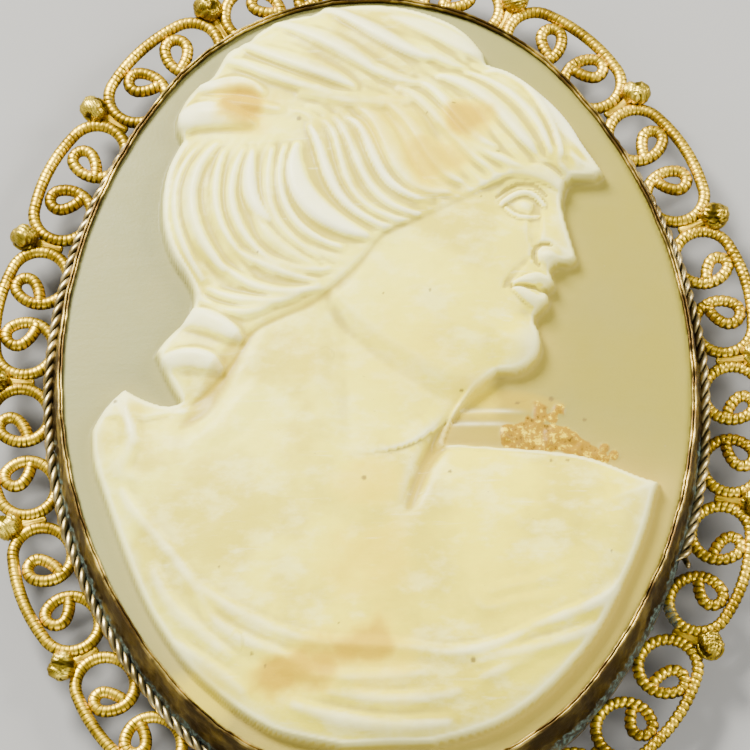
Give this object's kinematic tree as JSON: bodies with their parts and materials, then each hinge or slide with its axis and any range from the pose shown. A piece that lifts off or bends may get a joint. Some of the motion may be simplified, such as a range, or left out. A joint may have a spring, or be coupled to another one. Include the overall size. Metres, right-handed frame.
{
  "type": "cameo brooch pendant",
  "caption": "Oval shell cameo of a classical bust in an open-backed brass rim with a pierced border of C-scrolls, a hanging tube at the top and a brooch pin behind.",
  "frame": {"origin": "on the surface that the brooch lies on, under the middle of its box", "axes": "+Z is the carved face's side, +Y is the top of the brooch where it hangs, and +X is to the right of someone who looks at the face"},
  "size_m": [0.0374, 0.05, 0.0081],
  "materials": {
    "brass": "worn gilt brass, brown in the recesses and green where the wires are soldered",
    "shell": "carved shell, cream relief on a grey-beige ground, satin",
    "pin_brass": "plain dull brass"
  },
  "bodies": {
    "root": {"setting": "brass", "cameo": "shell", "brooch_pin": "pin_brass"}
  },
  "joints": []
}
